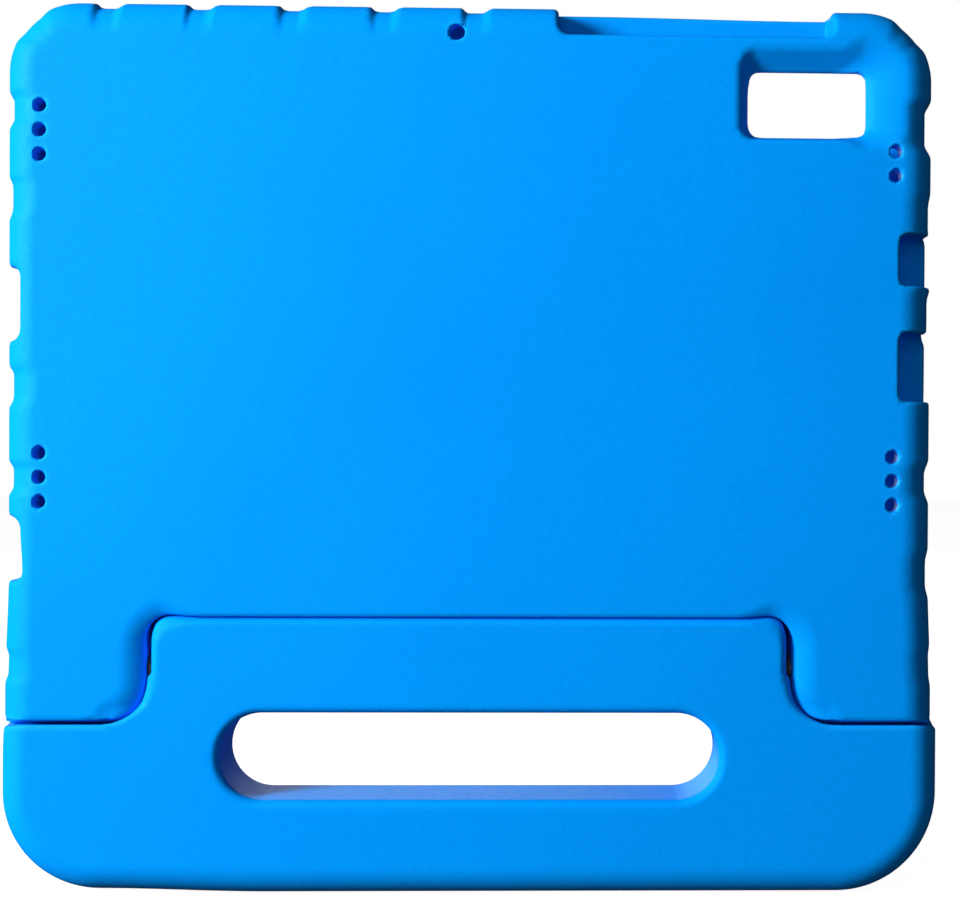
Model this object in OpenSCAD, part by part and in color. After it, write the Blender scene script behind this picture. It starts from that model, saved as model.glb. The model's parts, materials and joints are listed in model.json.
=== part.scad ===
// Foam tablet case with a carrying handle that folds back into a stand.
// +Z is up, the back of the case faces -Y and X runs along the long side.
// The origin is under the middle of the handle's bottom edge, half way through the thickness.

/* [Tablet] */
// Length of the tablet that the pocket holds
tablet_w = 258; // [240:1:270]
// Height of the tablet that the pocket holds
tablet_h = 163; // [150:1:170]
// Thickness of the tablet that the pocket holds
tablet_t = 7.5; // [6:0.5:9]
// Room left round the tablet in all, in each direction
pocket_room = 0.6; // [0.2:0.1:1.5]

/* [Shell] */
// Thickness of the foam wall beside the tablet
side_wall = 7.4; // [7:0.1:10]
// Thickness of the foam wall above the tablet
top_wall = 7.3; // [7:0.1:10]
// Height of the foam rail below the tablet
bottom_rail = 25.4; // [24:0.1:30]
// Thickness of the foam behind the tablet
back_wall = 6.8; // [5:0.1:8]
// Thickness of the lip in front of the screen
lip_t = 6; // [4:0.5:7]
// How far the lip reaches over the screen's edge
lip_reach = 5.5; // [3:0.5:7]
// Rounding of the back edges
back_round = 10; // [8:0.5:10]
// Rounding of the front edges
front_round = 4; // [3:0.5:5]
// Rounding of the two upper corners in the back view
corner_r = 21; // [20:0.5:24]

/* [Handle] */
// Width of the handle
handle_w = 278; // [276:1:284]
// Rounding of the two lower corners in the back view
handle_corner_r = 30; // [26:1:34]
// Length of the grip slot
grip_w = 144.6; // [120:0.2:150]
// Height of the grip slot
grip_h = 24.4; // [22:0.2:25]
// Height of the grip slot's lower edge above the bottom
grip_z = 29.7; // [27:0.1:31]
// Rounding of the handle's edges
handle_round = 9; // [7:0.5:9]

/* [Hinge] */
// Height of the hinge axis above the handle's bottom
hinge_z = 66.4; // [66:0.1:68]
// Depth of the hinge axis in front of the back face
hinge_set = 8; // [7.5:0.1:8.5]
// Radius of the tongue and of the lugs about the hinge axis
barrel_r = 16.6; // [16:0.1:17]
// Half the width of the tongue between the lugs
tongue_half = 93.6; // [88:0.1:95]
// Room between a tongue flank and its lug
flank_gap = 1.3; // [1.2:0.1:1.6]
// Room between the curved faces that turn past each other
barrel_gap = 0.5; // [0.4:0.1:0.8]
// Radius of the hinge pins
pin_r = 3; // [2.5:0.1:3.5]
// Length of the hinge pins
pin_len = 42; // [38:1:44]
// Radial clearance of a pin in its lug socket
pin_play = 0.06; // [0.03:0.01:0.09]
// Radius of the sockets' barrels
socket_r = 4.6; // [4.4:0.1:4.8]
// Length of the sockets
socket_len = 23; // [20:1:24]
// Radius of the flange that anchors each socket in the foam
flange_r = 6.4; // [6:0.1:6.6]
// Radius of the friction washers
washer_r = 4.2; // [3.8:0.1:4.4]
// Thickness of the friction washers
washer_t = 1; // [0.8:0.1:1]
// Furthest that the handle folds back, in degrees
fold_max = 110; // [90:1:112]

/* [Hidden] */
$fn = 64;
hull_fn = 32;
far = 400;       // longer than anything in the case
eps = 0.01;      // overlap that keeps cuts clean

foam_blue = [0.0, 0.6, 0.95];
socket_grey = [0.25, 0.27, 0.3];
pin_grey = [0.75, 0.76, 0.78];
washer_black = [0.08, 0.08, 0.09];

// Thickness direction: the back face is at back_y and the handle's front face at front_y
thick = hinge_set + barrel_r;
back_y = -thick / 2;
front_y = thick / 2;
axis_y = back_y + hinge_set;
pocket_t = tablet_t + 0.5;
pocket_y0 = back_y + back_wall;
pocket_y1 = pocket_y0 + pocket_t;
shell_front_y = pocket_y1 + lip_t;

// Pocket
pocket_w = tablet_w + 2 * pocket_room + 0.2;
pocket_h = tablet_h + pocket_room;
pocket_z0 = hinge_z + bottom_rail;
pocket_z1 = pocket_z0 + pocket_h;
pocket_corner_r = 7;
screen_corner_r = 5;

// Shell outline
shell_half = pocket_w / 2 + side_wall;
shell_top = pocket_z1 + top_wall;
corner_x = shell_half - corner_r;
corner_z = shell_top - corner_r;

// Tongue drum and the recess that it turns in
tongue_corner = 7;
lug_face = tongue_half + flank_gap;
recess_r = barrel_r + barrel_gap;
recess_corner = 7.4;

// Lugs: a drum whose inner end is domed, and the shoulder groove that it lies in
lug_dome = 12.5;
groove_r = barrel_r + barrel_gap;
groove_dome = lug_dome + barrel_gap;
stop_drop = 8;   // how far below the axis the front stop lies
stop_gap = 0.3;

// Sloping edge of the shell round the tongue
slope_depth = 4.2;
slope_side = 7.1;
slope_top = 3;
slope_corner = 9;

// How deep the lug sockets' mouths lie in the foam, and the hole in front of them
lug_cover = 2.4;
cover_hole_r = pin_r + 0.5;
handle_cover = 0.3;
floor_t = 2;     // blind end of each socket
pin_x0 = tongue_half - handle_cover - socket_len + floor_t;

// Grooves that divide the rim into pads, and their places along each edge
groove_w = 7;
groove_deep = 1.6;
top_grooves = [for (i = [0:4]) -105.5 + i * 26.6];
left_grooves = [231.5, 204.5, 149.5, 122.5, 67.5];
right_grooves = [229.5, 203, 122.5, 95.5, 67.5];

// Openings in the shell: centre along the edge, and size
usb_z = 173.5;
usb_len = 21.4;
low_notch_z = 101.7;
low_notch_len = 18.7;
notch_deep = 5.4;
port_h = 13;
port_t = 6.5;
power_z = 188;
power_len = 15.3;
volume_z = 156.5;
volume_len = 20.4;
button_inset = 11.4;
top_cut_x = 65.5;
top_cut_len = 81;
top_cut_drop = 10.7;
top_cut_corner = 3.5;
cut_corner = 3;
window_x = 98.3;
window_z = 233.2;
window_w = 35;
window_h = 19.4;
window_corner = 2.6;
window_slope = 2.8;
window_slope_top = 5.6;
window_slope_deep = 5.5;
hole_r = 2;
hole_pitch = 7.1;
hole_x = 123.8;
upper_holes_z = 224.5;
lower_holes_z = 122.8;
right_holes_up = 1.3;   // the upper right pair sits this much off the left side's pitch
mic_r = 2.4;
mic_x = -4.6;
mic_z = 252;

// ---- plain shapes ----

// Rounded rectangle about the middle of x: its first two corners have r0, its last two r1
module section(half, y0, y1, r0, r1) {
    translate([-half, y0 + r0]) square([2 * half, y1 - y0 - r0 - r1]);
    translate([-half + r0, y0]) square([2 * (half - r0), r0 + eps]);
    translate([-half + r1, y1 - r1 - eps]) square([2 * (half - r1), r1 + eps]);
    for (s = [-1, 1]) {
        translate([s * (half - r0), y0 + r0]) circle(r0);
        translate([s * (half - r1), y1 - r1]) circle(r1);
    }
}

// Right half of the same section, to be turned round its left edge
module half_section(half, y0, y1, r0, r1) {
    translate([0, y0 + r0]) square([half, y1 - y0 - r0 - r1]);
    translate([0, y0]) square([half - r0, r0 + eps]);
    translate([0, y1 - r1 - eps]) square([half - r1, r1 + eps]);
    translate([half - r0, y0 + r0]) circle(r0);
    translate([half - r1, y1 - r1]) circle(r1);
}

// Rectangle with four equal round corners, centred
module rounded(w, h, r) {
    square([w - 2 * r, h], center = true);
    square([w, h - 2 * r], center = true);
    for (sx = [-1, 1], sy = [-1, 1])
        translate([sx * (w / 2 - r), sy * (h / 2 - r)]) circle(r);
}

// Carries a shape drawn in x and z, extruded along y from y0 to y1
module through(y0, y1) {
    translate([0, y1, 0]) rotate([90, 0, 0]) linear_extrude(y1 - y0) children();
}

// Carries a shape drawn in y and z, extruded along x from x0 to x1
module along_x(x0, x1) {
    translate([x0, 0, 0]) rotate([90, 0, 90]) linear_extrude(x1 - x0) children();
}

// Carries a shape drawn as (radius, x) and turns it about the hinge axis
module about_hinge() {
    translate([0, axis_y, hinge_z]) rotate([0, 90, 0]) rotate_extrude(convexity = 4) children();
}

// Box given by its two corners
module block(lo, hi) {
    translate(lo) cube(hi - lo);
}

// ---- shapes about the hinge ----

// Drum centred on x = 0 with round end edges: the tongue, and the recess round it
module drum(half, r, corner) {
    about_hinge() {
        translate([0, -half]) square([r - corner, 2 * half]);
        translate([0, -half + corner]) square([r, 2 * (half - corner)]);
        for (s = [-1, 1])
            translate([r - corner, s * (half - corner)]) circle(corner);
    }
}

// Drum that starts with a dome at x = face and runs outwards to x = end
module domed_drum(face, end, r, dome) {
    about_hinge() {
        translate([0, face]) square([r - dome, end - face]);
        translate([0, face + dome]) square([r, end - face - dome]);
        intersection() {
            translate([r - dome, face + dome]) circle(dome);
            translate([0, face]) square([r, 2 * dome]);
        }
    }
}

// Straight cylinder on the hinge axis from x0 to x1
module hinge_rod(x0, x1, r) {
    translate([x0, axis_y, hinge_z]) rotate([0, 90, 0]) cylinder(h = x1 - x0, r = r);
}

// ---- hinge hardware, drawn on the +X side ----

// Barrel with an anchor flange, a barb and four fins against turning, without its bore
module socket_body(mouth, dir) {
    flange_at = 8;
    flange_t = 2;
    barb_at = 16;
    barb_r = socket_r + 0.7;
    fin_r = socket_r + 1.1;
    fin_t = 1.6;
    end_clear = 3;
    x0 = min(mouth, mouth + dir * socket_len);
    hinge_rod(x0, x0 + socket_len, socket_r);
    for (ring = [[flange_at, flange_r], [barb_at, barb_r]]) {
        at = min(mouth + dir * ring[0], mouth + dir * (ring[0] + flange_t));
        hinge_rod(at, at + flange_t, ring[1]);
    }
    for (turn = [45, 135])
        translate([x0 + end_clear, axis_y, hinge_z]) rotate([turn, 0, 0])
            translate([0, -fin_r, -fin_t / 2])
                cube([socket_len - 2 * end_clear, 2 * fin_r, fin_t]);
}

module lug_socket_body() { socket_body(lug_face + lug_cover, 1); }
module handle_socket_body() { socket_body(tongue_half - handle_cover, -1); }

module lug_socket() {
    difference() {
        lug_socket_body();
        hinge_rod(lug_face, lug_face + lug_cover + socket_len - floor_t, pin_r + pin_play);
    }
}

module handle_socket() {
    difference() {
        handle_socket_body();
        hinge_rod(pin_x0, tongue_half + 1, pin_r);
    }
}

// Pin with a chamfered nose, fast in the handle socket
module hinge_pin() {
    nose = 1;
    x0 = pin_x0;
    hinge_rod(x0, x0 + pin_len - nose, pin_r);
    about_hinge() translate([0, x0 + pin_len - nose - eps])
        polygon([[0, 0], [pin_r, 0], [pin_r - nose, nose], [0, nose]]);
}

module friction_washer() {
    difference() {
        hinge_rod(tongue_half, tongue_half + washer_t, washer_r);
        hinge_rod(tongue_half - 1, tongue_half + washer_t + 1, pin_r + 0.05);
    }
}

// ---- shell ----

module shell_blank() {
    // upper slab between the rounded sides
    translate([0, 0, hinge_z])
        linear_extrude(corner_z - hinge_z)
            section(shell_half, back_y, shell_front_y, back_round, front_round);
    // top edge between the two upper corners
    along_x(-corner_x, corner_x) {
        translate([back_y + back_round, corner_z - eps])
            square([shell_front_y - back_y - back_round - front_round, corner_r + eps]);
        translate([back_y, corner_z - eps])
            square([shell_front_y - back_y, corner_r - back_round + eps]);
        translate([shell_front_y - front_round - eps, corner_z])
            square([front_round + eps, corner_r - front_round]);
        translate([back_y + back_round, shell_top - back_round]) circle(back_round);
        translate([shell_front_y - front_round, shell_top - front_round]) circle(front_round);
    }
    // upper corners
    for (s = [-1, 1])
        translate([s * corner_x, 0, corner_z]) rotate([-90, 0, 0])
            rotate_extrude(convexity = 4)
                half_section(corner_r, back_y, shell_front_y, back_round, front_round);
}

// Lug side profile: the round barrel, the part that runs up into the slab and the front stop
module lug_profile() {
    run_up = 30;   // how far the lug's shape carries on inside the slab
    translate([axis_y, hinge_z]) circle(barrel_r);
    translate([back_y, hinge_z]) square([shell_front_y - back_y, run_up]);
    translate([axis_y, hinge_z - stop_drop]) square([barrel_r, stop_drop]);
}

module lugs() {
    blend_z = 12;  // height over which the lugs stand proud above the barrel
    intersection() {
        translate([0, 0, hinge_z - barrel_r - 1])
            linear_extrude(2 * barrel_r + blend_z)
                section(shell_half, back_y, front_y, back_round, front_round);
        along_x(-shell_half, shell_half) lug_profile();
    }
}

// Height of the recess's edge above the axis, at a depth in front of the back face
function recess_top(depth) = sqrt(pow(recess_r, 2) - pow(hinge_set - depth, 2));

// Thin plate with round upper corners, the outline of the sloping edge at one depth
module slope_outline(y, half, top, corner) {
    foot = -30;    // far enough below the axis to be clear of the shell
    translate([0, y - 0.1, hinge_z + (top + foot) / 2]) rotate([-90, 0, 0])
        linear_extrude(0.1) rounded(2 * half, top - foot, corner, $fn = hull_fn);
}

// Everything that the tongue needs: its recess, the way below it and the sloping edge
module tongue_room() {
    drum(lug_face, recess_r, recess_corner);
    block([-lug_face, -far, -far], [lug_face, far, hinge_z + stop_gap]);
    hull() {
        slope_outline(back_y, lug_face + slope_side, recess_top(0) + slope_top, slope_corner);
        slope_outline(back_y + slope_depth, lug_face, recess_top(slope_depth), recess_corner);
    }
}

// Domes the inner ends of the lugs wherever the handle's inner corner passes as it folds:
// below the front stop, and behind the plane that the handle's back face folds to
module lug_domes() {
    sweep = fold_max + 2;
    edge = hinge_set + barrel_gap;
    edge_y = -edge * cos(sweep);
    edge_z = edge * sin(sweep);
    out = 3 * barrel_r;
    for (s = [0, 1]) mirror([s, 0, 0])
        difference() {
            translate([0, axis_y, hinge_z])
                along_x(lug_face - 1, lug_face + lug_dome)
                    polygon([[0, 0], [edge_y, edge_z],
                             [edge_y - out * sin(sweep), edge_z - out * cos(sweep)],
                             [-out, -out], [out, -out], [out, -stop_drop], [0, -stop_drop]]);
            domed_drum(lug_face, shell_half, barrel_r, lug_dome);
        }
}

module pocket() {
    translate([0, 0, (pocket_z0 + pocket_z1) / 2])
        through(pocket_y0, pocket_y1) rounded(pocket_w, pocket_h, pocket_corner_r);
    translate([0, 0, (pocket_z0 + pocket_z1) / 2])
        through(pocket_y1 - 1, shell_front_y + 1)
            rounded(pocket_w - 2 * lip_reach, pocket_h - 2 * lip_reach, screen_corner_r);
}

module camera_window() {
    corner_grow = 1.5;   // how much rounder the slopes' outer corners are
    translate([window_x, 0, window_z]) {
        through(back_y - 1, pocket_y0 + 1) rounded(window_w, window_h, window_corner);
        hull() {
            translate([0, back_y - 0.5, (window_slope_top - window_slope) / 2])
                rotate([-90, 0, 0]) linear_extrude(0.5)
                    rounded(window_w + 2 * window_slope,
                            window_h + window_slope + window_slope_top,
                            window_corner + corner_grow, $fn = hull_fn);
            translate([0, back_y + window_slope_deep, 0]) rotate([-90, 0, 0])
                linear_extrude(0.1)
                    rounded(window_w, window_h, window_corner, $fn = hull_fn);
        }
    }
}

// A hole through the foam behind the tablet
module back_hole(x, z, r) {
    translate([x, back_y - 1, z]) rotate([-90, 0, 0]) cylinder(h = back_wall + 2, r = r, $fn = 32);
}

module sound_holes() {
    for (i = [-1, 0, 1]) {
        back_hole(-hole_x, upper_holes_z + i * hole_pitch, hole_r);
        back_hole(-hole_x, lower_holes_z + i * hole_pitch, hole_r);
        back_hole(hole_x, lower_holes_z + i * hole_pitch, hole_r);
    }
    for (i = [1, 2])
        back_hole(hole_x, upper_holes_z + right_holes_up - i * hole_pitch, hole_r);
    back_hole(mic_x, mic_z, mic_r);
}

// Notch in the left wall, drawn as its plan in x and z
module side_notch(z, len) {
    translate([-shell_half, 0, z])
        through(back_y - 1, shell_front_y + 1) rounded(2 * notch_deep, len, cut_corner);
}

// Opening for a plug from the left notch into the pocket
module plug_port() {
    port_y = (pocket_y0 + pocket_y1) / 2;
    translate([0, port_y, usb_z])
        along_x(-shell_half - 1, -pocket_w / 2 + 1) rounded(port_t, port_h, port_t / 2 - eps);
}

// Cut for a button: it opens the side wall from the back and leaves the front lip
module button_cut(z, len) {
    reach = 20;    // from the inner end of the cut to clear of the wall
    translate([shell_half - button_inset + reach / 2, 0, z])
        through(back_y - 1, pocket_y1) rounded(reach, len, cut_corner);
}

module top_cut() {
    reach = 30;    // from the bottom of the cut to clear of the top
    translate([top_cut_x, 0, shell_top - top_cut_drop + reach / 2])
        through(back_y - 1, pocket_y1) rounded(top_cut_len, reach, top_cut_corner);
}

// Shallow round groove across the rim: its axis runs along y just outside the edge
module rim_groove(x, z) {
    bend = (groove_w * groove_w / 4 + groove_deep * groove_deep) / (2 * groove_deep);
    out = bend - groove_deep;
    side = abs(x) < shell_half ? [0, 1] : [sign(x), 0];
    translate([x + side[0] * out, back_y - 1, z + side[1] * out]) rotate([-90, 0, 0])
        cylinder(h = thick + 2, r = bend);
}

module rim_grooves() {
    for (x = top_grooves) rim_groove(x, shell_top);
    for (z = left_grooves) rim_groove(-shell_half, z);
    for (z = right_grooves) rim_groove(shell_half, z);
}

module shell() {
    color(foam_blue)
        difference() {
            union() {
                shell_blank();
                lugs();
            }
            tongue_room();
            lug_domes();
            pocket();
            camera_window();
            sound_holes();
            side_notch(usb_z, usb_len);
            side_notch(low_notch_z, low_notch_len);
            plug_port();
            button_cut(power_z, power_len);
            button_cut(volume_z, volume_len);
            top_cut();
            rim_grooves();
            for (s = [0, 1]) mirror([s, 0, 0]) {
                lug_socket_body();
                hinge_rod(lug_face - 1, lug_face + lug_cover + eps, cover_hole_r);
            }
        }
}

// ---- handle ----

handle_half = handle_w / 2;
shoulder_z = hinge_z;
handle_corner_x = handle_half - handle_corner_r;

module handle_blank() {
    r = handle_round;
    // sides between the lower corners and the shoulders
    translate([0, 0, handle_corner_r])
        linear_extrude(shoulder_z - handle_corner_r)
            section(handle_half, back_y, front_y, r, r);
    // bottom edge between the two lower corners
    along_x(-handle_corner_x, handle_corner_x) {
        translate([back_y + r, 0]) square([thick - 2 * r, handle_corner_r + eps]);
        translate([back_y, r]) square([thick, handle_corner_r - r + eps]);
        for (y = [back_y + r, front_y - r]) translate([y, r]) circle(r);
    }
    // lower corners
    for (s = [-1, 1])
        translate([s * handle_corner_x, 0, handle_corner_r]) rotate([-90, 0, 0])
            rotate_extrude(convexity = 4)
                half_section(handle_corner_r, back_y, front_y, r, r);
}

// What the lugs need at each end: the groove that they turn in and the way above it
module lug_room() {
    for (s = [0, 1]) mirror([s, 0, 0]) {
        domed_drum(lug_face - barrel_gap, handle_half + 5, groove_r, groove_dome);
        block([tongue_half, -far, hinge_z], [far, far, far]);
        block([tongue_half, axis_y - barrel_gap, hinge_z - stop_drop - stop_gap],
              [far, far, far]);
    }
}

module grip_slot() {
    translate([0, 0, grip_z + grip_h / 2])
        through(back_y - 1, front_y + 1) rounded(grip_w, grip_h, grip_h / 2 - eps);
}

module handle() {
    color(foam_blue)
        difference() {
            union() {
                difference() {
                    handle_blank();
                    lug_room();
                }
                // tongue
                intersection() {
                    drum(tongue_half, barrel_r, tongue_corner);
                    block([-far, back_y, -far], [far, front_y, far]);
                }
            }
            grip_slot();
            for (s = [0, 1]) mirror([s, 0, 0]) {
                handle_socket_body();
                hinge_rod(tongue_half - handle_cover - eps, tongue_half + 1, cover_hole_r);
                // seat of the friction washer
                hinge_rod(tongue_half, lug_face, washer_r + barrel_gap);
            }
        }
}

module lug_socket_left() { color(socket_grey) mirror([1, 0, 0]) lug_socket(); }
module lug_socket_right() { color(socket_grey) lug_socket(); }
module handle_socket_left() { color(socket_grey) mirror([1, 0, 0]) handle_socket(); }
module handle_socket_right() { color(socket_grey) handle_socket(); }
module hinge_pin_left() { color(pin_grey) mirror([1, 0, 0]) hinge_pin(); }
module hinge_pin_right() { color(pin_grey) hinge_pin(); }
module friction_washer_left() { color(washer_black) mirror([1, 0, 0]) friction_washer(); }
module friction_washer_right() { color(washer_black) friction_washer(); }

shell();
handle();
lug_socket_left();
lug_socket_right();
handle_socket_left();
handle_socket_right();
hinge_pin_left();
hinge_pin_right();
friction_washer_left();
friction_washer_right();
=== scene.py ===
"""Foam tablet case with a folding handle: the looks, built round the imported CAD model.

The two foam mouldings are made here as fields, shell_field and handle_field, and meshed. The hinge's
hardware stays CAD.
Lengths inside the shape functions are millimetres in the frame of the part; meshes are scaled to metres.
"""

import json
import math

import bpy
import numpy as np
from mathutils import Euler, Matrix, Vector


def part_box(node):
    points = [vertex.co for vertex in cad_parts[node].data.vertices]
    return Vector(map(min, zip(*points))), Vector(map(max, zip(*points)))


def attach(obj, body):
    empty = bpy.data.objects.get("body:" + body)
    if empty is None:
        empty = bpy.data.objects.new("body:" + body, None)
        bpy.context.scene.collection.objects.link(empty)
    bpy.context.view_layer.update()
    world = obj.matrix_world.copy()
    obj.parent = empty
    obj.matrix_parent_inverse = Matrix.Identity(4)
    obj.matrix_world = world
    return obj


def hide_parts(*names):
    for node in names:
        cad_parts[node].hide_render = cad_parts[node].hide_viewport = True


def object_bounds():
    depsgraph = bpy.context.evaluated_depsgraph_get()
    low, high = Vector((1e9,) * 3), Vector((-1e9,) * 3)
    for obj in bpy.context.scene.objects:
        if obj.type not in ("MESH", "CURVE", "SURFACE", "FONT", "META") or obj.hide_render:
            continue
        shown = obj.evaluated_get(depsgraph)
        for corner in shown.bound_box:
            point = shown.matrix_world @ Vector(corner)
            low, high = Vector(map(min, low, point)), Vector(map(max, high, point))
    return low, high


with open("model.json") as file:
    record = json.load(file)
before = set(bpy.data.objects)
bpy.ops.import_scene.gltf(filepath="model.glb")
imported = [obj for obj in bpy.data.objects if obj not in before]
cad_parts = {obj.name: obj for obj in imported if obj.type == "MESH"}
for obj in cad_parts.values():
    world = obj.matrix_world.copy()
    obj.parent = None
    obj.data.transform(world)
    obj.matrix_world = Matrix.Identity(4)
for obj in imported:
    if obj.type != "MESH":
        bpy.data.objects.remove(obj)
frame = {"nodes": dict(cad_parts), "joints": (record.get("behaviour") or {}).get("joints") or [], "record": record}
cad_lo, cad_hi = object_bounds()

MM = 0.001


# ---- sizes that come from the frame ----


def box_mm(lo, hi):
    return np.array(lo) / MM, np.array(hi) / MM


opening = {o["name"]: np.array(box_mm(*o["box_m"])) for o in frame["record"]["physics"]["openings"]}
shell_hi = box_mm(*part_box("shell"))[1]
handle_lo, handle_hi = box_mm(*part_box("handle"))
washer_lo, washer_hi = box_mm(*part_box("friction_washer_right"))
hinge = next(j for j in frame["joints"] if j["name"] == "handle_hinge")
axis_y, axis_z = np.array(hinge["pos_m"][1:]) / MM

back_y, front_y = handle_lo[1], handle_hi[1]
axis_set = axis_y - back_y  # depth of the hinge axis behind the back face
barrel_r = front_y - axis_y
handle_half = handle_hi[0]
shell_half = shell_hi[0]
shell_top = shell_hi[2]

# Clearances round the hinge, and the flanks between tongue and lugs
BARREL_GAP = 0.5
STOP_GAP = 0.3
lug_face = washer_hi[0] + STOP_GAP
tongue_half = washer_lo[0]
washer_r = (washer_hi[2] - washer_lo[2]) / 2
LUG_DOME = 12.5
STOP_DROP = 8

# The pocket's opening box is this much inside its true walls
POCKET_INSET = np.array([2.1, 0.1, 2.2])
pocket_lo = opening["tablet_pocket"][0] - POCKET_INSET
pocket_hi = opening["tablet_pocket"][1] + POCKET_INSET
pocket_mid_z = (pocket_lo[2] + pocket_hi[2]) / 2
LIP_T = 6
LIP_REACH = 5.5
slab_front = pocket_hi[1] + LIP_T


# ---- fields: negative inside a solid, in mm from its surface ----


def meet(a, b, r):
    """What a and b share, with an edge of radius r between them."""
    corner = np.hypot(np.maximum(r + a, 0), np.maximum(r + b, 0))
    return np.minimum(-r, np.maximum(a, b)) + corner


def cut(a, b, r):
    """a without b, with an edge of radius r."""
    return meet(a, -b, r)


def rounded(u, v, half_u, half_v, r):
    """Rectangle with round corners, centred."""
    du = np.abs(u) - (half_u - r)
    dv = np.abs(v) - (half_v - r)
    outside = np.hypot(np.maximum(du, 0), np.maximum(dv, 0))
    return outside + np.minimum(np.maximum(du, dv), 0) - r


def ramp(t, start, end):
    """Smooth step from 0 at start to 1 at end."""
    s = np.clip((t - start) / (end - start), 0, 1)
    return s * s * (3 - 2 * s)


def dent(t, half, below, above):
    """1 within half of t = 0, fading to 0 over the widths below and above it."""
    return ramp(t, -half - below, -half) * (1 - ramp(t, half, half + above))


# ---- outline of the shell ----

BACK_ROUND = 10
FRONT_ROUND = 4
CORNER_R = 21
CORNER_FLAT = 0.9  # each upper corner is drawn in by this much at its middle
OUTLINE_TALL = 150  # half height of the outline, which runs on below the shell
RIM_SET = 0.6  # the pads of the rim stay this far inside the CAD outline
TOP_SET = 0.3
LUG_FLARE = 1.0  # the lugs stand this far out from the rim above them

# Grooves that part the rim into pads. Along the sides: place, half width of the bed, depth
TOP_GROOVE_DEEP = 1.5
LEFT_FADE = 3.2
RIGHT_FADE = 4.6
top_grooves = -107.2 + 26.85 * np.arange(5)
left_grooves = (
    (230.2, 2.6, 1.4), (204.5, 3.4, 1.1), (149.3, 3.4, 1.4), (122.4, 2.4, 1.4), (67.5, 2.4, 0.9),
)
right_grooves = (
    (227.6, 4.4, 1.9), (201.0, 3.4, 0.7), (171.5, 4.5, 0.9), (122.4, 2.4, 1.3), (95.0, 3.4, 0.8),
    (67.5, 2.4, 0.5),
)


def corner_flats(x, z, centre_x, centre_z):
    """1 at the middle of each upper corner, where its arc is flattened."""
    turn = np.arctan2(z - centre_z, np.abs(x) - centre_x) - math.radians(45)
    return dent(turn * CORNER_R, 2.4, 5.5, 5.5) * (z > centre_z) * (np.abs(x) > centre_x)


def rim_dents(x, z):
    """How far the outline is drawn in by the grooves that divide the rim into pads."""
    centre_x = shell_half - RIM_SET - CORNER_R
    centre_z = shell_top - TOP_SET - CORNER_R
    near_top = ramp(z, 236, 243)
    near_side = ramp(np.abs(x), shell_half - 22, shell_half - 15)
    below_corners = z < centre_z + 8
    top = sum(TOP_GROOVE_DEEP * dent(x - g, 2.0, 2.2, 3.4) for g in top_grooves) * near_top
    left = sum(deep * dent(z - g, half, LEFT_FADE, LEFT_FADE) for g, half, deep in left_grooves)
    right = sum(deep * dent(z - g, half, RIGHT_FADE, RIGHT_FADE) for g, half, deep in right_grooves)
    sides = np.where(x < 0, left, right) * near_side * below_corners
    return top + sides + CORNER_FLAT * corner_flats(x, z, centre_x, centre_z)


def shell_outline(x, z):
    half = shell_half - RIM_SET
    flare = LUG_FLARE * (1 - ramp(z, 60, 96))
    centre_z = shell_top - TOP_SET - OUTLINE_TALL
    return rounded(x, z - centre_z, half, OUTLINE_TALL, CORNER_R) - flare + rim_dents(x, z)


# ---- hinge seam ----

ROOM_DOME = 7.4  # rounding at the ends of the room for the tongue's drum
SEAM_TOP_R = 9  # corners over the tongue, as the back shows them
SEAM_FOOT_R = 11  # turns below the lugs
SEAM_TALL = 60  # half height of the tongue's outline, which runs on below the shell
BEVEL_THIN = 0.9
BEVEL_WIDE = 11
BEVEL_SET = 0.3  # share of a bevel's radius that the seam's outline is drawn in by


def about_axis(y, z):
    return np.hypot(y - axis_y, z - axis_z)


def domed_drum(x, rho, face, radius, dome):
    return meet(rho - radius, face - np.abs(x), dome)


def tongue_room(x, y, z, rho):
    """Room for the tongue, with the way below it."""
    drum = meet(rho - (barrel_r + BARREL_GAP), np.abs(x) - lug_face, ROOM_DOME)
    below = np.maximum(np.abs(x) - lug_face, z - axis_z - STOP_GAP) + 0 * y
    # the lugs' inner ends are domed below the front stop, where the handle's corners pass
    swept = np.minimum(np.maximum(y - axis_y, z - axis_z), z - axis_z + STOP_DROP + 0 * y)
    outside_dome = np.maximum(swept, -domed_drum(x, rho, lug_face, barrel_r, LUG_DOME))
    return np.minimum(np.minimum(drum, below), outside_dome)


def seam_edge(x, z):
    """Small rounding of the shell along the hinge seam, fuller over the tongue."""
    over_tongue = ramp(z, 66, 74) * (1 - ramp(np.abs(x), 93, 98))
    return 0.8 + 0.5 * over_tongue


def seam_outline(x, z):
    """Outline of the tongue's room as the back shows it: the tongue, and the way below the lugs."""
    top = axis_z + math.sqrt((barrel_r + BARREL_GAP) ** 2 - axis_set ** 2)
    lug_foot = axis_z - math.sqrt(barrel_r ** 2 - axis_set ** 2)
    tongue = rounded(x, z - (top - SEAM_TALL), lug_face, SEAM_TALL, SEAM_TOP_R)
    return -meet(-tongue, lug_foot - z, SEAM_FOOT_R)


def seam_bevel(x, z):
    """Radius of the back's rounding along the seam: wide beside the tongue, less over it, else thin."""
    over_tongue = ramp(z, 70, 76) * (1 - ramp(np.abs(x), 96, 104))
    beside = ramp(np.abs(x), 78, 92) * (1 - ramp(np.abs(x), 104, 114)) * ramp(z, 49, 57)
    thin = BEVEL_THIN + 2.6 * over_tongue
    return thin + (BEVEL_WIDE - thin) * beside


def cut_seam(body, x, y, z, rho):
    bevel = seam_bevel(x, z)
    bevelled = np.maximum(seam_outline(x, z) + BEVEL_SET * bevel, y - axis_y)
    body = cut(body, bevelled, bevel)
    return cut(body, tongue_room(x, y, z, rho), seam_edge(x, z))


# ---- openings of the shell ----

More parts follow.
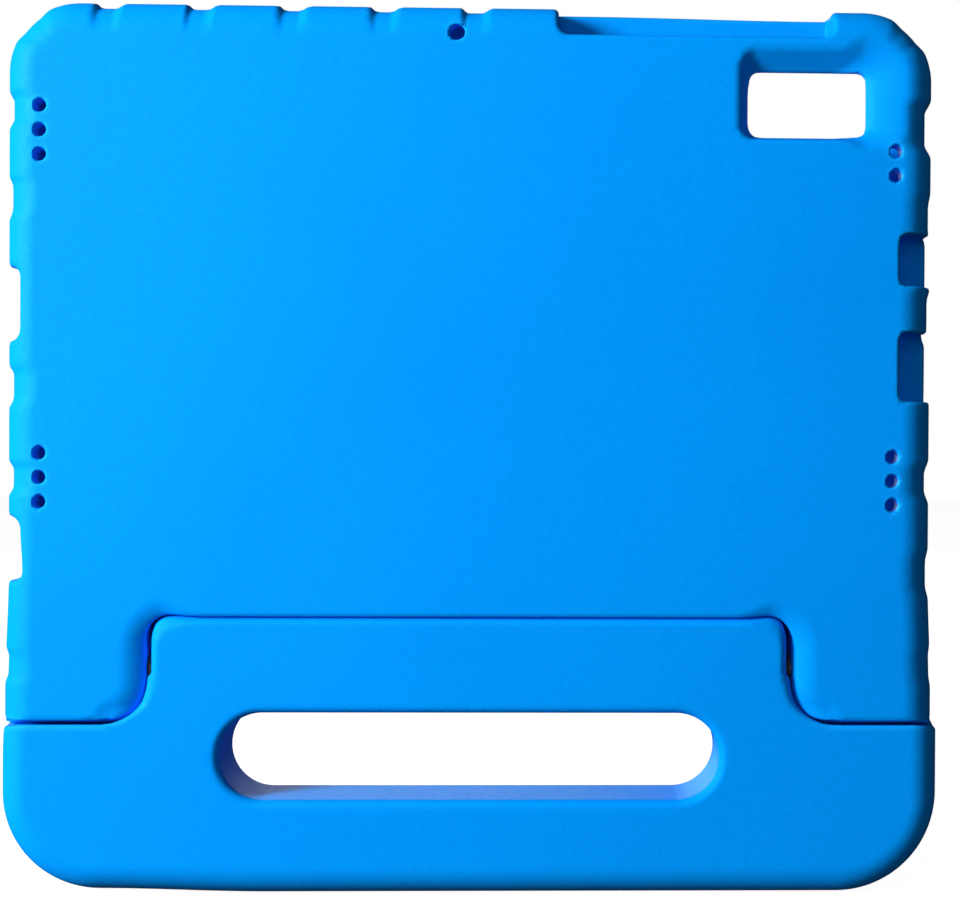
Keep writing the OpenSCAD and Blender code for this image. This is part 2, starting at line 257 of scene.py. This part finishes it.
PAST_WALL = 3  # cuts through the back run on this far into the pocket
WINDOW_LIFT = 0.9  # the camera window lies this far above its opening's box
TOP_CUT_FOOT = 0.4  # the top cut's foot lies this far below its opening's box
TOP_CUT_HALF = 20  # half height of the top cut, which runs on above the rim
BOX_INSET = 1.0  # the notches' and button cuts' walls lie this far outside their openings' boxes
NOTCH_CORNER = 3.2
BUTTON_CORNER = 2.6

HOLE_R = 1.9
MIC_R = 2.3
HOLE_PITCH = 7.1
HOLE_X = 125.3
MIC_X, MIC_Z = -4.6, 253.4
UPPER_LEFT_Z, UPPER_RIGHT_Z, LOWER_Z = 223.6, 226.9, 122.8


def hole_centres():
    """The sound holes in x and z: three groups of three, and a pair at the upper right."""
    three = (-HOLE_PITCH, 0, HOLE_PITCH)
    centres = [(-HOLE_X, UPPER_LEFT_Z + s) for s in three]
    centres += [(-HOLE_X, LOWER_Z + s) for s in three]
    centres += [(HOLE_X - 1.4, LOWER_Z + s) for s in three]
    centres += [(HOLE_X - 0.9, UPPER_RIGHT_Z - n * HOLE_PITCH) for n in (1, 2)]
    return centres


def back_holes(x, z):
    """Sound and microphone holes, as one outline."""
    rings = [np.hypot(x - cx, z - cz) - HOLE_R for cx, cz in hole_centres()]
    rings.append(np.hypot(x - MIC_X, z - MIC_Z) - MIC_R)
    return np.minimum.reduce(rings)


def window_slopes(x, y, z):
    """The camera window's bevels: steep on the left, long above it and wide on the right."""
    lo, hi = opening["camera_window"] + np.array([0, 0, WINDOW_LIFT])
    edge = 0.9
    deep = 5.2
    depth_in = y - back_y

    def bevel(u, width, depth):
        return (u * depth + depth_in * width - depth * width) / math.hypot(depth, width)

    left = bevel(lo[0] - edge - x, 2.6, deep)
    right = bevel(x - hi[0] - edge, 7.0, 4.4)
    top = bevel(z - hi[2] - edge, 5.9, deep + 0.4)
    bottom = bevel(lo[2] - edge - z, 1.6, deep)
    return meet(meet(left, right, 3), meet(top, bottom, 3), 4)


def through_box(name, x, z, inset, r):
    """Outline in x and z of a cut whose opening box is inset from its walls."""
    lo, hi = opening[name]
    mid_x, mid_z = (lo[0] + hi[0]) / 2, (lo[2] + hi[2]) / 2
    half_x, half_z = (hi[0] - lo[0]) / 2 + inset, (hi[2] - lo[2]) / 2 + inset
    return rounded(x - mid_x, z - mid_z, half_x, half_z, r)


def cut_pocket(body, x, y, z):
    """The tablet's pocket, and the screen opening through the lip in front of it."""
    up = z - pocket_mid_z
    half_x, half_z = pocket_hi[0], pocket_hi[2] - pocket_mid_z
    room = rounded(x, up, half_x, half_z, 7)
    pocket = np.maximum(room, np.maximum(pocket_lo[1] - y, y - pocket_hi[1]))
    view = rounded(x, up, half_x - LIP_REACH, half_z - LIP_REACH, 5)
    screen = np.maximum(view, pocket_hi[1] - 2 - y)
    return cut(body, np.minimum(pocket, screen), 1.0)


def cut_back(body, x, y, z):
    """The camera window with its bevels, and the small round holes."""
    wall = y - pocket_lo[1] - PAST_WALL
    window = through_box("camera_window", x - 0.5, z - WINDOW_LIFT, 0.6, 2.6)
    body = cut(body, window_slopes(x, y, z), 0.9 + 2.6 * ramp(x, 108, 116))
    body = cut(body, np.maximum(window, wall), 0.6)
    return cut(body, np.maximum(back_holes(x, z), wall), 0.45)


def cut_left_side(body, x, y, z):
    """The plug notch with its port into the pocket, and the lower notch, whose inner wall leans."""
    usb = through_box("usb_notch", x, z, BOX_INSET, NOTCH_CORNER)
    lean = 0.06 * (110 - z)
    low = through_box("lower_side_notch", x - lean, z, BOX_INSET, NOTCH_CORNER)
    port_lo, port_hi = opening["plug_port"]
    _, mid_y, mid_z = (port_lo + port_hi) / 2
    plug = np.maximum(
        rounded(y - mid_y, z - mid_z, 3.2, 6.4, 3.1),
        np.maximum(port_lo[0] - PAST_WALL - x, x - port_hi[0]),
    )
    body = cut(body, np.minimum(usb, low) + 0 * y, 1.3)
    return cut(body, plug, 0.7)


def cut_button_openings(body, x, y, z):
    power = through_box("power_button_cut", x, z, BOX_INSET, BUTTON_CORNER)
    volume = through_box("volume_button_cut", x, z, BOX_INSET, BUTTON_CORNER)
    return cut(body, np.maximum(np.minimum(power, volume), y - pocket_hi[1]), 0.9)


def cut_top(body, x, y, z):
    """The long cut in the upper rim, and the sag of the thin lip that it leaves in front."""
    lo, hi = opening["top_button_cutout"]
    along = x - (lo[0] + hi[0]) / 2
    wide = (hi[0] - lo[0]) / 2 + 3.2
    foot = lo[2] - TOP_CUT_FOOT
    top = rounded(along, z - (foot + TOP_CUT_HALF), wide, TOP_CUT_HALF, 3.5)
    body = cut(body, np.maximum(top, y - pocket_hi[1]), 1.5)
    sag = 0.1 + 1.2 * ramp(x, lo[0], hi[0])
    over_lip = np.maximum(np.abs(along) - wide, shell_top - sag - z) + 0 * y
    return cut(body, over_lip, 1.0)


# ---- shell ----


def shell_body(x, y, z, rho):
    """The slab and its lugs, before anything is cut from them."""
    backed = meet(shell_outline(x, z), back_y - y, BACK_ROUND)
    slab = np.maximum(meet(backed, y - slab_front, FRONT_ROUND), axis_z - z)
    lug_side = meet(backed, y - front_y, FRONT_ROUND)
    stop = np.maximum(np.maximum(axis_y - y, axis_z - STOP_DROP - z), z - axis_z)
    lugs = meet(lug_side, np.minimum(rho - barrel_r, stop), 0.9)
    return np.minimum(slab, lugs)


def shell_field(x, y, z):
    rho = about_axis(y, z)
    body = cut_seam(shell_body(x, y, z, rho), x, y, z, rho)
    for cut_opening in (cut_pocket, cut_back, cut_left_side, cut_button_openings, cut_top):
        body = cut_opening(body, x, y, z)
    return body


# ---- handle ----

HANDLE_ROUND = 9
HANDLE_CORNER = 30
HANDLE_TALL = 120  # half height of the handle's outline, which runs on above the hinge
TONGUE_CORNER = 7
SLOT_EDGE = 2.4
flank = lug_face - BARREL_GAP


def handle_body(x, y, z, rho):
    """The lower bar and the tongue's drum, before anything is cut from them."""
    left_set = (1.1 + 0.7 * ramp(z, 40, 60)) * ramp(-x, 60, 110)
    outline = rounded(x, z - HANDLE_TALL, handle_half, HANDLE_TALL, HANDLE_CORNER) + left_set
    backed = meet(outline, back_y - y, HANDLE_ROUND)
    lower = np.maximum(meet(backed, y - front_y, HANDLE_ROUND), z - axis_z)
    drum = meet(rho - barrel_r, np.abs(x) - flank, TONGUE_CORNER)
    edge = 1.0 + 2.5 * ramp(np.abs(x), 82, 91)
    return np.minimum(lower, meet(drum, back_y - y, edge))


def lug_room(x, y, z, rho):
    """Room for the lugs, their way in and the front stops."""
    groove = domed_drum(x, rho, flank, barrel_r + BARREL_GAP, LUG_DOME + BARREL_GAP)
    above = np.maximum(axis_z - z, flank - np.abs(x)) + 0 * y
    stop_y, stop_z = axis_y - BARREL_GAP, axis_z - STOP_DROP - STOP_GAP
    stop = np.maximum(np.maximum(stop_y - y, stop_z - z), flank - np.abs(x))
    return np.minimum(np.minimum(groove, above), stop)


def grip_slot(x, y, z):
    """The slot through the bar: a little longer and lower than its stated opening."""
    lo, hi = opening["grip_slot"]
    half_z = (hi[2] - lo[2]) / 2 + 0.9
    half_x = hi[0] + half_z + 0.6
    up = z - (lo[2] + hi[2]) / 2 + 0.6
    return rounded(x, up, half_x, half_z, half_z - 0.01) + 0 * y


def handle_field(x, y, z):
    rho = about_axis(y, z)
    # the tongue's back edge is rounded at the flanks, so that it passes the lugs when folded
    flank_edge = 0.8 + 3.1 * ramp(z, 49, 58) * (1 - ramp(y, -6, 0))
    body = cut(handle_body(x, y, z, rho), lug_room(x, y, z, rho), flank_edge)
    washer_seat = np.maximum(rho - washer_r - BARREL_GAP, tongue_half - np.abs(x))
    body = cut(body, washer_seat, 0.2)
    return cut(body, grip_slot(x, y, z), SLOT_EDGE)


# ---- from field to mesh ----

CELL_CORNERS = [(i, j, k) for i in (0, 1) for j in (0, 1) for k in (0, 1)]
MOST_MOVED = 0.6  # mm that a vertex may move onto the surface
WEAR_REACH = 1.6  # mm below the surface at which the wear on edges is judged
WEAR_GAIN = 3.2


def crossed_cells(inside):
    """The grid cells that the surface crosses, and each one's number on the grid."""
    nx, ny, nz = inside.shape
    count = np.zeros((nx - 1, ny - 1, nz - 1), np.int8)
    for i, j, k in CELL_CORNERS:
        count += inside[i:nx - 1 + i, j:ny - 1 + j, k:nz - 1 + k]
    cells = np.argwhere((count > 0) & (count < len(CELL_CORNERS)))
    number = np.full(count.shape, -1, np.int64)
    number[tuple(cells.T)] = np.arange(len(cells))
    return cells, number


def cell_points(values, cells, axes):
    """In each cell, the mean of the places where the surface crosses its edges."""
    total = np.zeros((len(cells), 3))
    hits = np.zeros(len(cells))
    for a in CELL_CORNERS:
        for axis in [n for n in range(3) if not a[n]]:
            b = tuple(c + (n == axis) for n, c in enumerate(a))
            va = values[tuple((cells + a).T)]
            vb = values[tuple((cells + b).T)]
            crossed = (va < 0) != (vb < 0)
            t = np.where(crossed, va / np.where(crossed, va - vb, 1), 0)
            for n in range(3):
                pa = axes[n][cells[:, n] + a[n]]
                pb = axes[n][cells[:, n] + b[n]]
                total[:, n] += np.where(crossed, pa + t * (pb - pa), 0)
            hits += crossed
    return total / hits[:, None]


def edge_quads(inside, number):
    """A quad round each grid edge that the surface crosses, wound to face out."""
    step = np.eye(3, dtype=int)
    quads = []
    for axis in range(3):
        u, v = [n for n in range(3) if n != axis]
        low = tuple(slice(None, -1) if n == axis else slice(1, -1) for n in range(3))
        high = tuple(slice(1, None) if n == axis else slice(1, -1) for n in range(3))
        a, b = inside[low], inside[high]
        for leaving in (True, False):
            where = np.argwhere(a & ~b if leaving else ~a & b)
            where += 1 - step[axis]
            ring = [where - step[u] - step[v], where - step[v], where, where - step[u]]
            if leaving == (axis == 1):
                ring.reverse()
            quads.append(np.stack([number[tuple(r.T)] for r in ring], 1))
    return np.concatenate(quads)


def slope_of(field, p, h=0.02):
    parts = []
    for n in range(3):
        d = np.zeros(3)
        d[n] = h
        parts.append((field(*(p + d).T) - field(*(p - d).T)) / (2 * h))
    return np.stack(parts, 1)


def onto_surface(field, start):
    """The points moved onto the surface along the field's slope."""
    points = start
    for _ in range(3):
        slope = slope_of(field, points)
        size = np.maximum((slope * slope).sum(1), 0.2)
        points = points - slope * (field(*points.T) / size)[:, None]
        moved = points - start
        far = np.maximum(np.linalg.norm(moved, axis=1) / MOST_MOVED, 1)
        points = start + moved / far[:, None]
    return points


def quad_mesh(name, points, quads):
    mesh = bpy.data.meshes.new(name)
    mesh.vertices.add(len(points))
    mesh.vertices.foreach_set("co", (points * MM).ravel())
    mesh.loops.add(quads.size)
    mesh.loops.foreach_set("vertex_index", quads.ravel())
    mesh.polygons.add(len(quads))
    mesh.polygons.foreach_set("loop_start", np.arange(0, quads.size, 4))
    mesh.polygons.foreach_set("loop_total", np.full(len(quads), 4))
    mesh.update(calc_edges=True)
    mesh.validate()
    mesh.polygons.foreach_set("use_smooth", np.ones(len(mesh.polygons), bool))
    return mesh


def moulding(name, field, xs, ys, zs):
    """Mesh of a field by surface nets, with its normals and the wear on its edges taken from the field."""
    values = field(xs[:, None, None], ys[None, :, None], zs[None, None, :])
    inside = values < 0
    cells, number = crossed_cells(inside)
    points = onto_surface(field, cell_points(values, cells, (xs, ys, zs)))
    normals = slope_of(field, points)
    normals /= np.maximum(np.linalg.norm(normals, axis=1), 1e-9)[:, None]
    wear = (field(*(points - normals * WEAR_REACH).T) + WEAR_REACH) / WEAR_REACH

    mesh = quad_mesh(name, points, edge_quads(inside, number))
    mesh.normals_split_custom_set_from_vertices(normals)
    worn = mesh.attributes.new("edge", "FLOAT", "POINT")
    worn.data.foreach_set("value", np.clip(wear * WEAR_GAIN, 0, 1).astype(np.float32))
    obj = bpy.data.objects.new(name, mesh)
    bpy.context.scene.collection.objects.link(obj)
    return obj


# ---- grids: fine zones where the small features are, each as start, end and step ----


def grid_lines(lo, hi, coarse, zones):
    """Grid coordinates from lo to hi, coarse outside the zones."""
    def step_at(t):
        return min([s for a, b, s in zones if a <= t <= b], default=coarse)

    lines = [lo]
    while lines[-1] < hi:
        here = lines[-1]
        step = step_at(here)
        # a fine zone is entered on its own edge
        near = [a - here for a, b, s in zones if here < a < here + step and s < step]
        lines.append(here + max(min(near, default=step), 0.35 * step))
    return np.array(lines)


def mirrored(zones):
    return zones + [(-b, -a, s) for a, b, s in zones]


def shell_grid():
    side = shell_half + 1.5
    both_sides = mirrored([
        (80, 90, 1.4),  # corners over the tongue
        (90, 104, 0.9),  # the tongue's flanks
        (104, 120, 2.0),  # lugs
        (121.5, 127.5, 0.6),  # sound holes
        (120, 140, 1.2),  # rim
    ])
    along_top = [
        (74, 122, 1.5),  # camera window
        (-8, -1, 0.65),  # microphone hole
        (21, 30, 1.0),  # left end of the top cut
        (100, 109, 1.0),  # its right end
    ] + [(g - 6, g + 7, 1.4) for g in top_grooves]
    through = [
        (-14, -2.5, 0.92),  # back roundings and bevels
        (1, 4, 1.0),  # back of the lip
        (6, 14, 1.15),  # front roundings
    ]
    up = [
        (46, 96, 1.12),  # hinge seam and lugs
        (96, 112, 1.7),  # lower notch
        (114, 132, 1.5),  # lower sound holes
        (140, 170, 2.0),  # volume button's cut
        (164, 186, 1.4),  # plug notch and port
        (176, 244, 2.1),  # upper rim
        (222, 226, 0.9),  # lower edge of the camera window
        (240, 250, 1.1),  # its upper edge and the bevel above it
        (250, 270, 1.02),  # top rim
    ] + [(mid - 2.5, mid + 2.5, 0.6) for _, mid in hole_centres()]
    xs = grid_lines(-side, side, 4.4, both_sides + along_top)
    ys = grid_lines(back_y - 1, front_y + 1, 1.5, through)
    zs = grid_lines(axis_z - barrel_r - 1.2, shell_top + 1.2, 3.6, up)
    return xs, ys, zs


def handle_grid():
    side = handle_half + 1.2
    both_sides = mirrored([
        (56, 76, 1.0),  # ends of the grip slot
        (84, 104, 0.9),  # the tongue's flanks
        (104, 116, 2.0),  # room for the lugs
        (116, 140, 1.1),  # outer ends
    ])
    up = [
        (-2, 12, 1.0),  # foot
        (26, 34, 0.9),  # lower edge of the grip slot
        (34, 48, 1.4),  # its ends
        (48, 90, 0.95),  # its upper edge, and the tongue
    ]
    xs = grid_lines(-side, side, 4.0, both_sides)
    ys = grid_lines(back_y - 1, front_y + 1, 0.85, [])
    zs = grid_lines(-1.2, axis_z + barrel_r + 1.2, 2.6, up)
    return xs, ys, zs


# ---- materials ----


def new_material(name):
    """A material, its shader, the object coordinates, and a function that adds a node with its inputs."""
    material = bpy.data.materials.new(name)
    material.use_nodes = True
    nodes, links = material.node_tree.nodes, material.node_tree.links
    shader = nodes["Principled BSDF"]
    coords = nodes.new("ShaderNodeTexCoord")

    def add(kind, **inputs):
        node = nodes.new(kind)
        for key, value in inputs.items():
            socket = node.inputs[key.replace("_", " ")]
            if isinstance(value, bpy.types.NodeSocket):
                links.new(value, socket)
            else:
                socket.default_value = value
        return node

    return material, shader, coords.outputs["Object"], add, links


def ramp_between(add, value, low, high, out_low, out_high):
    node = add("ShaderNodeMapRange", Value=value)
    for key, number in zip(("From Min", "From Max", "To Min", "To Max"),
                           (low, high, out_low, out_high)):
        node.inputs[key].default_value = number
    return node.outputs[0]


def mix_colours(add, share, low, high):
    node = add("ShaderNodeMix")
    node.data_type = "RGBA"
    tree_links = node.id_data.links
    tree_links.new(share, node.inputs["Factor"])
    for socket, value in ((node.inputs[6], low), (node.inputs[7], high)):
        if isinstance(value, bpy.types.NodeSocket):
            tree_links.new(value, socket)
        else:
            socket.default_value = (*value, 1)
    return node.outputs[2]


def foam_colour(add, mottle, cells):
    """Blue that varies with the mottling, is darker in the cells and paler on rubbed edges."""
    plain, bright = (0.0, 0.285, 0.90), (0.0, 0.315, 0.98)
    in_cells = (0.0, 0.25, 0.84)
    on_edges = (0.01, 0.40, 1.0)
    base = mix_colours(add, ramp_between(add, mottle, 0.3, 0.7, 0, 1), plain, bright)
    speckled = mix_colours(add, ramp_between(add, cells, 0.35, 0.7, 0, 0.35), base, in_cells)
    worn = add("ShaderNodeAttribute")
    worn.attribute_name = "edge"
    share = ramp_between(add, worn.outputs["Fac"], 0.15, 1, 0, 0.22)
    return mix_colours(add, share, speckled, on_edges)


def foam_material():
    """EVA foam: saturated blue skin with a fine pebble, faint mottling and slightly polished edges."""
    material, shader, place, add, links = new_material("eva_foam")
    mottle = add("ShaderNodeTexNoise", Vector=place, Scale=9.0, Detail=2.0, Roughness=0.5)
    cells = add("ShaderNodeTexNoise", Vector=place, Scale=620.0, Detail=3.0, Roughness=0.6)
    grain = add("ShaderNodeTexNoise", Vector=place, Scale=2600.0, Detail=1.0, Roughness=0.5)
    colour = foam_colour(add, mottle.outputs["Fac"], cells.outputs["Fac"])
    links.new(colour, shader.inputs["Base Color"])
    rough = ramp_between(add, cells.outputs["Fac"], 0.3, 0.7, 0.50, 0.62)
    links.new(rough, shader.inputs["Roughness"])
    shader.inputs["Specular IOR Level"].default_value = 0.14
    shader.inputs["Specular Tint"].default_value = (0.1, 0.6, 1, 1)
    pebble = add("ShaderNodeBump", Height=cells.outputs["Fac"], Strength=0.16, Distance=0.00035)
    skin = add("ShaderNodeBump", Height=grain.outputs["Fac"], Strength=0.12, Distance=0.0001)
    links.new(pebble.outputs[0], skin.inputs["Normal"])
    links.new(skin.outputs[0], shader.inputs["Normal"])
    return material


def moulded_plastic():
    """Dark glass-filled nylon of the hinge sockets."""
    material, shader, place, add, links = new_material("socket_nylon")
    grain = add("ShaderNodeTexNoise", Vector=place, Scale=1800.0, Detail=4.0, Roughness=0.6)
    colour = mix_colours(add, grain.outputs["Fac"], (0.035, 0.04, 0.05), (0.07, 0.075, 0.085))
    links.new(colour, shader.inputs["Base Color"])
    rough = ramp_between(add, grain.outputs["Fac"], 0.3, 0.7, 0.42, 0.6)
    links.new(rough, shader.inputs["Roughness"])
    bump = add("ShaderNodeBump", Height=grain.outputs["Fac"], Strength=0.2, Distance=0.0002)
    links.new(bump.outputs[0], shader.inputs["Normal"])
    return material


def drawn_steel():
    """Steel of the hinge pins, with fine drawing lines along X."""
    material, shader, place, add, links = new_material("pin_steel")
    squeeze = add("ShaderNodeMapping", Vector=place)
    squeeze.inputs["Scale"].default_value = (40, 2400, 2400)
    lines = add("ShaderNodeTexNoise", Vector=squeeze.outputs[0], Scale=1.0, Detail=3.0)
    colour = mix_colours(add, lines.outputs["Fac"], (0.42, 0.43, 0.45), (0.62, 0.63, 0.65))
    links.new(colour, shader.inputs["Base Color"])
    rough = ramp_between(add, lines.outputs["Fac"], 0.3, 0.7, 0.24, 0.4)
    links.new(rough, shader.inputs["Roughness"])
    shader.inputs["Metallic"].default_value = 1.0
    bump = add("ShaderNodeBump", Height=lines.outputs["Fac"], Strength=0.15, Distance=0.0001)
    links.new(bump.outputs[0], shader.inputs["Normal"])
    return material


def washer_rubber():
    """Black rubber of the friction washers."""
    material, shader, place, add, links = new_material("washer_rubber")
    grain = add("ShaderNodeTexNoise", Vector=place, Scale=2400.0, Detail=3.0)
    colour = mix_colours(add, grain.outputs["Fac"], (0.015, 0.015, 0.016), (0.04, 0.04, 0.042))
    links.new(colour, shader.inputs["Base Color"])
    rough = ramp_between(add, grain.outputs["Fac"], 0.3, 0.7, 0.6, 0.8)
    links.new(rough, shader.inputs["Roughness"])
    bump = add("ShaderNodeBump", Height=grain.outputs["Fac"], Strength=0.3, Distance=0.0001)
    links.new(bump.outputs[0], shader.inputs["Normal"])
    return material


def floor_material():
    material, shader = new_material("pale_floor")[:2]
    shader.inputs["Base Color"].default_value = (0.3, 0.3, 0.3, 1)
    shader.inputs["Roughness"].default_value = 0.85
    shader.inputs["Emission Color"].default_value = (1, 1, 1, 1)
    shader.inputs["Emission Strength"].default_value = 0.95
    return material


# ---- the pieces ----


def put_on(obj, material):
    obj.data.materials.clear()
    obj.data.materials.append(material)


foam = foam_material()
for piece, body, field, grid in (
    ("foam_shell", "shell", shell_field, shell_grid),
    ("foam_handle", "handle", handle_field, handle_grid),
):
    made = moulding(piece, field, *grid())
    put_on(made, foam)
    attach(made, body)
    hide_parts(body)

nylon = moulded_plastic()
hardware = {
    "lug_socket": nylon,
    "handle_socket": nylon,
    "hinge_pin": drawn_steel(),
    "friction_washer": washer_rubber(),
}
for node, obj in frame["nodes"].items():
    kind = node.rsplit("_", 1)[0]
    if kind in hardware:
        put_on(obj, hardware[kind])
        obj.data.shade_smooth()


# ---- stage: floor, lights and camera ----


def area_light(name, place, aim, size, watts):
    data = bpy.data.lights.new(name, "AREA")
    data.shape = "DISK"
    data.size = size
    data.energy = watts
    lamp = bpy.data.objects.new(name, data)
    lamp.location = place
    lamp.rotation_euler = (Vector(aim) - Vector(place)).to_track_quat("-Z", "Y").to_euler()
    bpy.context.scene.collection.objects.link(lamp)


def pale_world():
    """White for the camera, dim for the light that it casts."""
    world = bpy.data.worlds.new("studio")
    bpy.context.scene.world = world
    world.use_nodes = True
    nodes, links = world.node_tree.nodes, world.node_tree.links
    shown = nodes["Background"]
    shown.inputs["Color"].default_value = (1, 1, 1, 1)
    shown.inputs["Strength"].default_value = 1.0
    cast = nodes.new("ShaderNodeBackground")
    cast.inputs["Color"].default_value = (0.9, 0.95, 1, 1)
    cast.inputs["Strength"].default_value = 0.05
    path = nodes.new("ShaderNodeLightPath")
    mix = nodes.new("ShaderNodeMixShader")
    links.new(path.outputs["Is Camera Ray"], mix.inputs[0])
    links.new(cast.outputs[0], mix.inputs[1])
    links.new(shown.outputs[0], mix.inputs[2])
    links.new(mix.outputs[0], nodes["World Output"].inputs["Surface"])


def stage():
    bpy.ops.mesh.primitive_plane_add(size=6, location=(0, 0, -0.0003))
    floor = bpy.context.object
    floor.name = "floor"
    put_on(floor, floor_material())
    # the floor's own glow stays off the case
    floor.visible_diffuse = False
    floor.visible_glossy = False
    middle = (cad_lo + cad_hi) / 2
    area_light("key", (-0.87, -0.57, 0.44), middle, size=0.36, watts=21)
    area_light("front", (-0.1, -1.5, 0.5), middle, size=1.0, watts=3)
    area_light("rear", (-0.25, 1.4, 0.22), middle, size=0.9, watts=6)
    pale_world()
    bpy.context.scene.view_settings.view_transform = "Standard"


def camera():
    data = bpy.data.cameras.new("camera")
    eye = bpy.data.objects.new("camera", data)
    bpy.context.scene.collection.objects.link(eye)
    data.sensor_width = 36
    data.lens = 61.2
    data.shift_x = -0.125
    eye.location = (0.0246, -0.4900, 0.136)
    turn, tilt, roll = (math.radians(a) for a in (-1.57, -0.565, 0.32))
    aim = Euler((0, 0, turn)).to_matrix() @ Euler((math.pi / 2 + tilt, 0, 0)).to_matrix()
    eye.rotation_euler = (aim @ Euler((0, 0, roll)).to_matrix()).to_euler()
    bpy.context.scene.camera = eye


stage()
camera()
